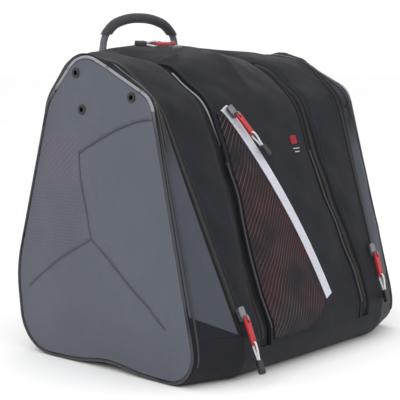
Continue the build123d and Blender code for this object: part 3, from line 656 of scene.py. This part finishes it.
def piping_with_painted_highlight(name, highlight_colour, dark, low, high, rear=9.0):
    """Covered cord: painted highlight high up in front of rear, as if lit from above, dark elsewhere, with a
    twill cover.
    """
    f = Finish(name)
    # painted highlight: the cord's upper run is painted lighter
    up = f.node("ShaderNodeMapRange", {"interpolation_type": "SMOOTHSTEP"},
                {"Value": f.z, "From Min": low, "From Max": high}).outputs[0]
    up = f.math("MULTIPLY", up, f.band(f.y, -9.0, rear, 0.012))
    twill = f.stripes(f.math("ADD", f.math("ADD", f.x, f.y), f.z), 0.0011, 0.8)
    base = f.mix(up, dark, highlight_colour)
    base = f.mix(f.math("MULTIPLY", twill, 0.3), base, tint(highlight_colour, 0.35))
    specks = f.math("MULTIPLY_ADD", f.noise(300.0, 2.0), 0.3, 0.85)
    base = f.darken(base, specks)
    return f.shade(base, 0.42, twill, 0.00015, Sheen_Weight=0.1, Specular_IOR_Level=0.55)


def spacer_mesh():
    """Open knitted mesh with rows of small cells over a darker ground."""
    f = Finish("back_spacer_mesh")
    cells = f.node("ShaderNodeTexVoronoi", {"feature": "F1"},
                   {"Vector": f.place, "Scale": 300.0, "Randomness": 0.12}).outputs["Distance"]
    holes = f.math("MULTIPLY_ADD", cells, 2.6, -0.5, clamp=True)
    slow = f.math("MULTIPLY_ADD", f.noise(16.0, 3.0), 0.4, 0.8)
    base = f.mix(holes, srgb(16, 17, 20), srgb(66, 68, 74))
    base = f.darken(base, slow)
    return f.shade(base, 0.85, holes, 0.0007, Sheen_Weight=0.35, Sheen_Roughness=0.5, Specular_IOR_Level=0.25)


def moulded(name, colour, rough, grain=420.0, depth=0.00008, metallic=0.0, coat=0.0, edge_rub_and_highlight=0.35):
    """Moulded or cast pieces: fine grain, lighter edges that are partly scuffed and partly painted highlight,
    and uneven gloss.
    """
    f = Finish(name)
    grain_height = f.noise(grain, 3.0)
    slow = f.noise(50.0, 3.0)
    base = f.mix(slow, tint(colour, 0.86), tint(colour, 1.14))
    # painted highlight and abrasion: sharp edges painted lighter
    base = f.mix(f.math("MULTIPLY", f.abraded_and_lit_edges(), edge_rub_and_highlight), base, tint(colour, 1.6))
    scratches = f.math("MULTIPLY_ADD", f.noise(130.0, 4.0, 0.7), 0.3, rough - 0.15)
    return f.shade(base, scratches, grain_height, depth, Metallic=metallic, Coat_Weight=coat,
                   Coat_Roughness=0.25)


def braided(name, colour, second):
    """Braided cord sheath."""
    f = Finish(name)
    turn = f.math("ADD", f.math("ADD", f.x, f.y), f.math("MULTIPLY", f.z, 0.7))
    other = f.math("SUBTRACT", f.math("SUBTRACT", f.x, f.y), f.math("MULTIPLY", f.z, 0.7))
    strands = f.math("MAXIMUM", f.stripes(turn, 0.0013, 0.7), f.stripes(other, 0.0013, 0.7))
    base = f.mix(strands, second, colour)
    slow = f.math("MULTIPLY_ADD", f.noise(150.0, 2.0), 0.25, 0.87)
    base = f.darken(base, slow)
    return f.shade(base, 0.6, strands, 0.0002, Sheen_Weight=0.2)


FINISH = {
    "side": side_cloth(),
    "gusset": gusset_cloth(),
    "dark": plain_cloth("dark_coated_cloth", srgb(28, 29, 36), rough=0.62, sheen=0.02),
    "base": plain_cloth("base_cloth", srgb(26, 27, 34), pitch=0.0014, contrast=0.22, rough=0.58,
                        depth=0.0004),
    "pocket": pocket_cloth(),
    "lining": plain_cloth("lining_taffeta", srgb(52, 54, 60), pitch=0.0006, contrast=0.1, rough=0.5,
                          sheen=0.1),
    "zip_tape": ribbed("zip_tape", srgb(17, 17, 20), 0.0016, "z", contrast=0.3),
    "coil": moulded("zip_coil", srgb(20, 20, 23), 0.4),
    "silver": ribbed("silver_zip", srgb(196, 196, 206), 0.0018, "z", rough=0.5, contrast=0.16, depth=0.0002),
    # piping colours: the lighter one is a painted highlight on the upper run, the darker one the cord's own
    # colour
    "side_piping": piping_with_painted_highlight("side_piping", srgb(138, 139, 146), srgb(22, 22, 26), 0.300, 0.345, 0.085),
    "flap_piping": piping_with_painted_highlight("flap_piping", srgb(150, 151, 158), srgb(24, 24, 28), 0.29, 0.34),
    "trim": piping_with_painted_highlight("edge_cord", srgb(92, 90, 92), srgb(20, 20, 23), 0.330, 0.380),
    "thread": braided("sewing_thread", srgb(44, 45, 51), srgb(24, 24, 28)),
    "side_thread": braided("side_thread", srgb(66, 68, 76), srgb(42, 43, 50)),
    "mesh": spacer_mesh(),
    "webbing": ribbed("strap_webbing", srgb(38, 39, 44), 0.0014, "z", contrast=0.35, depth=0.0004),
    "strap": plain_cloth("strap_cloth", srgb(52, 53, 60), pitch=0.0011, contrast=0.2, rough=0.7),
    "sleeve": ribbed("handle_sleeve", srgb(74, 74, 80), 0.0021, "x", contrast=0.45, depth=0.0006,
                     second=srgb(50, 51, 55), sheen=0.05),
    "handle_web": ribbed("handle_webbing", srgb(104, 104, 112), 0.0014, "z", contrast=0.25, depth=0.0003,
                         sheen=0.05),
    "foam": plain_cloth("divider_cloth", srgb(70, 72, 78), pitch=0.0012, contrast=0.18, rough=0.8),
    "board": moulded("base_board", srgb(34, 34, 37), 0.5, 260.0, 0.0002),
    "black": moulded("black_plastic", srgb(27, 27, 30), 0.42),
    "eyelet": moulded("eyelet_black", srgb(20, 20, 23), 0.34, coat=0.1),
    "metal": moulded("slider_metal", srgb(120, 120, 126), 0.36, metallic=0.8),
    "rubber": moulded("red_rubber", srgb(172, 26, 34), 0.5, 300.0, 0.00012, coat=0.15, edge_rub_and_highlight=0.2),
    "cord": braided("white_cord", srgb(232, 232, 234), srgb(176, 178, 184)),
    "red_label": ribbed("red_label", srgb(150, 28, 36), 0.0012, "z", contrast=0.3),
    "print": moulded("pale_print", srgb(150, 151, 158), 0.5),
}


# ---- cloth of the hoop ----
def hoop_piece(name, node, body, slot, finish, size=7.0, lined=True):
    bm = read_nodes(node)
    cut_cells(bm, size)
    foot = node.endswith("gusset")
    if foot:
        side = -1.0 if node.startswith("left") else 1.0
        tilt = Vector((-side * FOOT_SLOPE, 0.0, 1.0)).normalized()
        bmesh.ops.bisect_plane(bm, geom=bm.verts[:] + bm.edges[:] + bm.faces[:],
                               plane_co=Vector((side * FOOT_X, 0.0, FOOT_Z)), plane_no=tilt, dist=0.001)
        for face in bm.faces:
            spot = face.calc_center_median()
            if spot.z < FOOT_Z + (abs(spot.x) - FOOT_X) * FOOT_SLOPE and spot.y < 100.0:
                face.material_index = 2
    move_verts(bm, hoop_move)
    obj = store(bm, name, [FINISH[finish], FINISH["lining"], FINISH["base"]], lined=lined)
    return place(obj, body, slot, node)


base = hoop_piece("base_cloth", "base_tray", "root", "dark_cloth", "base", 8.0)
top = hoop_piece("top_cloth", "top_panel", "root", "dark_cloth", "dark")
top_zip = hoop_piece("top_zip", "top_zip_tape", "root", "zip_tape", "zip_tape", 4.0)
board = hoop_piece("base_board_sheet", "base_board", "root", "base_board", "board", 12.0, False)
flap = hoop_piece("flap_cloth", "flap_panel", None, "dark_cloth", "dark", 6.0)
flap_cord = hoop_piece("flap_edge_piping", "flap_piping", None, "silver_piping", "dark", 4.0, False)
pocket = hoop_piece("pocket_cloth", "pocket_panel", None, "pocket_cloth", "pocket", 6.0, False)
for piece in (flap, flap_cord, pocket):
    flap_blend(piece)
pocket_tape = hoop_piece("pocket_zip_tape", "pocket_zip", "front_flap", "silver_zip", "silver", 5.0, False)

shell = [base, top, top_zip, flap, flap_cord, pocket, pocket_tape]
door_cloth = {}
for word, side in SIDES:
    band = hoop_piece(f"{word}_front_cloth", f"{word}_front_band", "root", "dark_cloth", "dark")
    sunk = hoop_piece(f"{word}_flap_zip_tape", f"{word}_flap_zip", "root", "zip_tape", "zip_tape", 5.0)
    inner = hoop_piece(f"{word}_boot_zip_fixed", f"{word}_boot_zip_inner", "root", "zip_tape", "zip_tape",
                       6.0)
    outer = hoop_piece(f"{word}_boot_zip_moving", f"{word}_boot_zip_outer", None, "zip_tape", "zip_tape", 6.0)
    gusset = hoop_piece(f"{word}_gusset_cloth", f"{word}_gusset", None, "side_cloth", "gusset")
    door_cloth[word] = (outer, gusset)
    shell += [band, sunk, inner, outer, gusset]
hoop_tree = surface_of(*shell)


# ---- side panels, each one sheet from the floor to its top ----
def close_hem(bm):
    """Joins the cloth above and below the fold into one sheet."""
    hinge = Vector(JOINTS["right_door_fold"]["pos_m"]) * 1000.0

    def hem(vert):
        return hinge.z - (hinge.x - abs(vert.co.x)) * DOOR_SLOPE
    rim = [v for v in bm.verts if abs(v.co.z - hem(v)) < 0.7]
    for vert in rim:
        vert.co.z = hem(vert)
    chosen = set(rim)
    bmesh.ops.delete(bm, geom=[f for f in bm.faces if all(v in chosen for v in f.verts)],
                     context="FACES_ONLY")
    bmesh.ops.remove_doubles(bm, verts=[v for v in rim if v.is_valid], dist=0.6)


for word, side in SIDES:
    cord = read_nodes(f"{word}_piping", f"{word}_lower_piping")
    close_hem(cord)
    cells = cord.copy()
    cut_cells(cells, 5.0, (1, 2))
    edge_tree = KDTree(len(cells.verts))
    for number, vert in enumerate(cells.verts):
        edge_tree.insert(vert.co, number)
    edge_tree.balance()
    cells.free()
    cut_cells(cord, 6.0, (1, 2))
    cord.normal_update()
    for vert in cord.verts:
        vert.co -= vert.normal * 0.6
    move_verts(cord, settle)
    piping = place(store(cord, f"{word}_edge_piping", [FINISH["side_piping"]]), None, "dark_piping",
                   f"{word}_piping", f"{word}_lower_piping")
    sheet = read_nodes(f"{word}_side_panel", f"{word}_lower_side")
    close_hem(sheet)
    cut_cells(sheet, 5.0, (1, 2))
    for line, _ in SIDE_SEAMS:
        score(sheet, line, SEAM_HALF)
    bmesh.ops.triangulate(sheet, faces=[f for f in sheet.faces if len(f.verts) > 4])
    # mask of the painted shade along the sewn seams
    mark_sewn_line_shade(sheet)
    move_verts(sheet, side_move(edge_tree))
    panel = place(store(sheet, f"{word}_side_cloth", [FINISH["side"], FINISH["lining"]], lined=True),
                  None, "side_cloth", f"{word}_side_panel", f"{word}_lower_side")
    side_tree = surface_of(panel)
    for label, (line, _) in zip(("arc", "fall", "sweep", "branch"), SIDE_SEAMS):
        shifted = [(y, z + 3.2) for y, z in line]
        spots = even(along_side(side_tree, shifted, side, 0.15), 4.2)
        sewn = row_of(f"{word}_{label}_stitches", spots, (3.0, 0.7, 0.55), FINISH["side_thread"])
        door_blend(place(sewn, None, "side_cloth"))
    for piece in (piping, panel, *door_cloth[word]):
        door_blend(piece)

    # cords along the gusset
    edge_cords = (("front", 5.6, 1.4, -36.0, 66.0), ("crown", 9.0, 1.0, 52.0, 104.0))
    for label, inset, radius, first, last in edge_cords:
        route = around(hoop_tree, lambda z: side * (side_face_x(z) - inset), first, last, 2.2, radius * 0.35)
        rib = tube(f"{word}_{label}_edge_cord", [p for p, _ in route], radius, FINISH["trim"])
        door_blend(place(rib, None, "dark_piping"))

    # zip coils: one half on the bag, one half on the door
    for half, shift, body in (("fixed", -1.25, "root"), ("moving", 1.25, None)):
        route = around(hoop_tree, lambda z: side * (boot_zip_x(z) + shift), -19.0, 196.0, 1.6, 0.25)
        spots = even(route, 2.3)
        if half == "moving":
            spots = [(p + a * 1.15, n, a) for p, n, a in spots]
        teeth = row_of(f"{word}_coil_{half}", spots, (1.5, 2.9, 1.3), FINISH["coil"], "tooth")
        if body is None:
            door_blend(place(teeth, None, "zip_tape"))
        else:
            place(teeth, body, "zip_tape")
    for shift in (-7.8, 7.8):
        label = "inner" if shift < 0.0 else "outer"
        route = around(hoop_tree, lambda z: side * (boot_zip_x(z) + shift), -14.0, 190.0, 1.6, 0.1)
        sewn = row_of(f"{word}_zip_{label}_stitches", even(route, 4.0), (2.9, 0.65, 0.5), FINISH["thread"])
        if shift < 0.0:
            place(sewn, "root", "dark_cloth")
        else:
            door_blend(place(sewn, None, "side_cloth"))

    # the sunk zip beside the flap
    route = around(hoop_tree, lambda z: side * (flap_edge_x(z) + 12.0), -28.0, 92.0, 1.6, 0.2)
    teeth = row_of(f"{word}_flap_coil", even(route, 2.3), (1.5, 5.2, 1.3), FINISH["coil"], "tooth")
    place(teeth, "root", "zip_tape")
    route = around(hoop_tree, lambda z: side * (flap_edge_x(z) + 24.5), -14.0, 98.0, 1.6, 0.1)
    sewn = row_of(f"{word}_band_stitches", even(route, 4.0), (2.9, 0.65, 0.5), FINISH["thread"])
    place(sewn, "root", "dark_cloth")
    route = around(hoop_tree, lambda z: side * (flap_edge_x(z) - 7.5), -27.0, 88.0, 1.6, 0.1)
    sewn = row_of(f"{word}_flap_stitches", even(route, 4.0), (2.9, 0.65, 0.5), FINISH["thread"])
    flap_blend(place(sewn, None, "dark_cloth"))
    route = around(hoop_tree, lambda z: side * (flap_edge_x(z) - 1.4), -29.0, 86.0, 2.0, 0.5)
    bead = tube(f"{word}_flap_bead", [p for p, _ in route], 1.3, FINISH["flap_piping"])
    flap_blend(place(bead, None, "silver_piping"))

# ---- small things ----
def hard_piece(name, node, body, slot, finish, bevel=0.35):
    """A moulded or cast piece: the CAD shape with its edges rounded."""
    bm = read_nodes(node)
    bmesh.ops.dissolve_limit(bm, angle_limit=math.radians(1.0), verts=bm.verts, edges=bm.edges)
    sharp = [e for e in bm.edges if e.is_manifold and e.calc_face_angle(0.0) > math.radians(50.0)]
    bmesh.ops.bevel(bm, geom=sharp, offset=bevel, segments=2, affect="EDGES", profile=0.5, material=-1,
                    clamp_overlap=True)
    return place(store(bm, name, [FINISH[finish]], sharp=30.0), body, slot, node)


CORD_ROUTES = {
    "left_boot": [(-149.93, -210.0, 32.32), (-150.11, -208.39, 37.05), (-150.77, -207.44, 45.16),
                  (-151.1, -204.09, 54.57), (-149.75, -198.25, 52.64), (-149.36, -201.32, 43.13),
                  (-149.45, -205.52, 36.1), (-149.27, -207.12, 31.37)],
    "right_boot": [(152.36, -197.83, 71.4), (152.89, -196.04, 76.04), (153.75, -194.82, 84.09),
                   (154.82, -191.11, 93.31), (154.82, -185.23, 91.05), (153.75, -188.66, 81.72),
                   (152.89, -193.15, 74.92), (152.36, -194.94, 70.28)],
    "top": [(-109.0, 20.0, 419.29), (-104.0, 20.0, 419.29), (-96.0, 19.66, 421.01), (-86.0, 19.69, 420.86),
            (-86.0, 20.9, 414.67), (-96.0, 20.93, 414.53), (-104.0, 20.59, 416.25), (-109.0, 20.59, 416.25)],
    "pocket": [(-31.03, -118.48, 284.58), (-33.79, -116.95, 288.46), (-38.2, -116.12, 295.31),
               (-43.73, -112.91, 303.0), (-43.73, -107.06, 300.68), (-38.2, -109.98, 292.88),
               (-33.79, -114.07, 287.32), (-31.03, -115.6, 283.44)],
}
for word, route in CORD_ROUTES.items():
    toggle = hard_piece(f"{word}_cord_end", f"{word}_pull_toggle", f"{word}_pull", "toggle_plastic", "black",
                        0.8)
    hard_piece(f"{word}_tab", f"{word}_pull_tab", f"{word}_pull", "pull_rubber", "rubber", 0.5)
    hard_piece(f"{word}_zip_slider", f"{word}_slider", f"{word}_runner", "slider_metal", "metal", 0.3)
    loop = smooth_line(f"{word}_cord", route, CORD_RADIUS, 3, 8)
    loop.data.materials.append(FINISH["cord"])
    place(loop, f"{word}_pull", "pull_cord", f"{word}_pull_cord")

for word, side in SIDES:
    hard_piece(f"{word}_ladder_buckle", f"{word}_ladder_lock", "root", "buckle_plastic", "black", 0.6)
    hard_piece(f"{word}_lower_webbing", f"{word}_strap_webbing", "root", "webbing", "webbing", 0.5)
    NODES[f"{word}_eyelets"].data.materials.clear()
    NODES[f"{word}_eyelets"].data.materials.append(FINISH["eyelet"])


# ---- padded pieces ----
def swell(obj, voxel, pressure, cap):
    """Fills a closed piece like foam in its cover, then keeps each point within cap of its start."""
    remesh = obj.modifiers.new("even_cells", "REMESH")
    remesh.mode = "VOXEL"
    remesh.voxel_size = voxel * MM
    graph = bpy.context.evaluated_depsgraph_get()
    even_mesh = bpy.data.meshes.new_from_object(obj.evaluated_get(graph))
    kept = list(obj.data.materials)
    obj.modifiers.clear()
    obj.data = even_mesh
    even_mesh.materials.clear()
    for material in kept:
        even_mesh.materials.append(material)
    start = np.array([v.co for v in obj.data.vertices])
    cloth = obj.modifiers.new("filling", "CLOTH")
    cloth.settings.use_pressure = True
    cloth.settings.uniform_pressure_force = pressure
    cloth.settings.effector_weights.gravity = 0.0
    cloth.point_cache.frame_start, cloth.point_cache.frame_end = 1, 20
    for number in range(1, 21):
        bpy.context.scene.frame_set(number)
    graph = bpy.context.evaluated_depsgraph_get()
    filled = np.array([v.co for v in obj.evaluated_get(graph).data.vertices])
    step = filled - start
    length = np.maximum(np.linalg.norm(step, axis=1), 1e-9)
    step *= np.minimum(1.0, cap * MM / length)[:, None]
    obj.modifiers.clear()
    obj.data.vertices.foreach_set("co", (start + step).astype(np.float32).ravel())
    obj.data.update()
    bpy.context.scene.frame_set(1)
    for polygon in obj.data.polygons:
        polygon.use_smooth = True
        polygon.material_index = 0
    return obj


def quilt(obj, move):
    """Sewn channels, pressed into a padded piece after it is filled."""
    co = np.array([v.co for v in obj.data.vertices]) * 1000.0
    normal = np.array([v.normal for v in obj.data.vertices])
    moved = move(co, normal) * MM
    obj.data.vertices.foreach_set("co", moved.astype(np.float32).ravel())
    obj.data.update()


def finish_pad(obj, body, slot, node):
    smooth = obj.modifiers.new("smooth", "SUBSURF")
    smooth.levels = smooth.render_levels = 1
    place(obj, body, slot, node)


def back_channels(co, normal):
    """Air channels between the back's pads."""
    x, y, z = co.T
    lines = np.minimum(np.abs(x), np.minimum(np.abs(z - 165.0), np.abs(z - 262.0)))
    lines = np.minimum(lines, np.abs(np.abs(x) - 128.0))
    inside = ease(10.0, 24.0, np.minimum(187.0 - np.abs(x), np.minimum(z - 60.0, 365.0 - z)))
    rise = (4.6 * ease(1.5, 17.0, lines) - 1.2) * inside
    outer = np.clip(normal[:, 1], 0.0, 1.0)
    moved = co.copy()
    moved[:, 1] += rise * outer
    moved[:, 2] += 0.3 * rise * outer * ease(300.0, 365.0, z)
    return moved


back = store(read_nodes("back_panel"), "back_pad", [FINISH["mesh"]])
swell(back, 4.0, 2.0, 2.0)
quilt(back, back_channels)
finish_pad(back, "root", "back_mesh", "back_panel")

for word, side in SIDES:
    strap = store(read_nodes(f"{word}_shoulder_strap"), f"{word}_shoulder_pad", [FINISH["strap"]])
    swell(strap, 3.5, 4.0, 3.0)

    def pressed_edge(co, normal, middle=side * STRAP_X):
        """A bound edge: thin at the rim, full inside, with a shallow sewn line."""
        away = STRAP_HALF - np.abs(co[:, 0] - middle)
        thin = 1.7 * (1.0 - ease(1.0, 8.0, away)) + 0.9 * np.exp(-((away - 7.5) / 1.8) ** 2)
        return co - normal * thin[:, None]
    quilt(strap, pressed_edge)
    finish_pad(strap, "root", "strap_padding", f"{word}_shoulder_strap")
    strap_tree = surface_of(strap)
    ribbon = patch(f"{word}_strap_ribbon", strap_tree, (side * STRAP_X, 200.0, 330.0), (1, 0, 0), (0, 0, -1),
                   (25.0, 186.0), 0.9, 1.6, [FINISH["webbing"]], (0, -1, 0))
    place(ribbon, "root", "webbing")
    partition = store(read_nodes(f"{word}_divider"), f"{word}_divider_pad", [FINISH["foam"]])
    swell(partition, 4.0, 1.0, 1.2)
    finish_pad(partition, "root", "divider_foam", f"{word}_divider")

# ---- handle ----
grip = store(read_nodes("handle_grip"), "handle_sleeve", [FINISH["sleeve"]], sharp=60.0)
place(grip, "handle", "handle_sleeve", "handle_grip")
feet = store(read_nodes("handle_core"), "handle_feet", [FINISH["handle_web"]], sharp=60.0)
place(feet, "handle", "webbing", "handle_core")
hard_piece("handle_tabs", "handle_anchors", "root", "webbing", "webbing", 0.8)

# ---- plain woven label and printed dashes on the flap ----
flap_tree = surface_of(flap)
label = patch("flap_label", flap_tree, (58.0, -300.0, 292.0), (1, 0, 0), (0, 0, -1), (15.0, 13.0), 0.35, 0.5,
              [FINISH["red_label"]], (0, 1, 0))
place(label, "front_flap", None)
for number, (level, width) in enumerate(((274.5, 17.0), (270.0, 13.0))):
    dash = patch(f"flap_dash_{number}", flap_tree, (59.0, -300.0, level), (1, 0, 0), (0, 0, -1), (width, 1.6),
                 0.2, 0.3, [FINISH["print"]], (0, 1, 0))
    place(dash, "front_flap", None)


# ---- floor, light and camera ----
floor_mesh = bpy.data.meshes.new("floor")
bm = bmesh.new()
bmesh.ops.create_grid(bm, x_segments=1, y_segments=1, size=14.0)
bm.to_mesh(floor_mesh)
bm.free()
floor = bpy.data.objects.new("floor", floor_mesh)
bpy.context.scene.collection.objects.link(floor)
f = Finish("floor_paper")
paper = f.mix(f.noise(1.5, 2.0), srgb(246, 246, 246), srgb(250, 250, 250))
floor_mesh.materials.append(f.shade(paper, 0.95, Specular_IOR_Level=0.1))

world = bpy.data.worlds.new("studio")
bpy.context.scene.world = world
world.use_nodes = True
world.node_tree.nodes["Background"].inputs["Color"].default_value = (1.0, 1.0, 1.0, 1.0)
world.node_tree.nodes["Background"].inputs["Strength"].default_value = 1.05


def soft_light(name, at, towards, size, power):
    lamp = bpy.data.lights.new(name, "AREA")
    lamp.shape = "RECTANGLE"
    lamp.size, lamp.size_y = size
    lamp.energy = power
    obj = bpy.data.objects.new(name, lamp)
    bpy.context.scene.collection.objects.link(obj)
    obj.location = at
    obj.rotation_euler = (Vector(towards) - Vector(at)).to_track_quat("-Z", "Y").to_euler()


soft_light("key", (-1.9, -0.5, 1.5), (-0.1, 0.0, 0.2), (1.6, 1.2), 13.0)
soft_light("front", (0.4, -2.4, 1.5), (0.0, 0.0, 0.25), (1.8, 1.2), 9.0)
soft_light("crown", (0.2, 0.6, 2.2), (0.0, 0.0, 0.3), (1.6, 1.6), 5.0)

lens = bpy.data.cameras.new("camera")
lens.sensor_width = 36.0
lens.lens = CAMERA_LENS
lens.clip_end = 60.0
camera = bpy.data.objects.new("camera", lens)
bpy.context.scene.collection.objects.link(camera)
camera.location = CAMERA_PLACE
camera.rotation_euler = Vector(CAMERA_AIM).to_track_quat("-Z", "Y").to_euler()
bpy.context.scene.camera = camera
bpy.context.scene.view_settings.view_transform = "Standard"
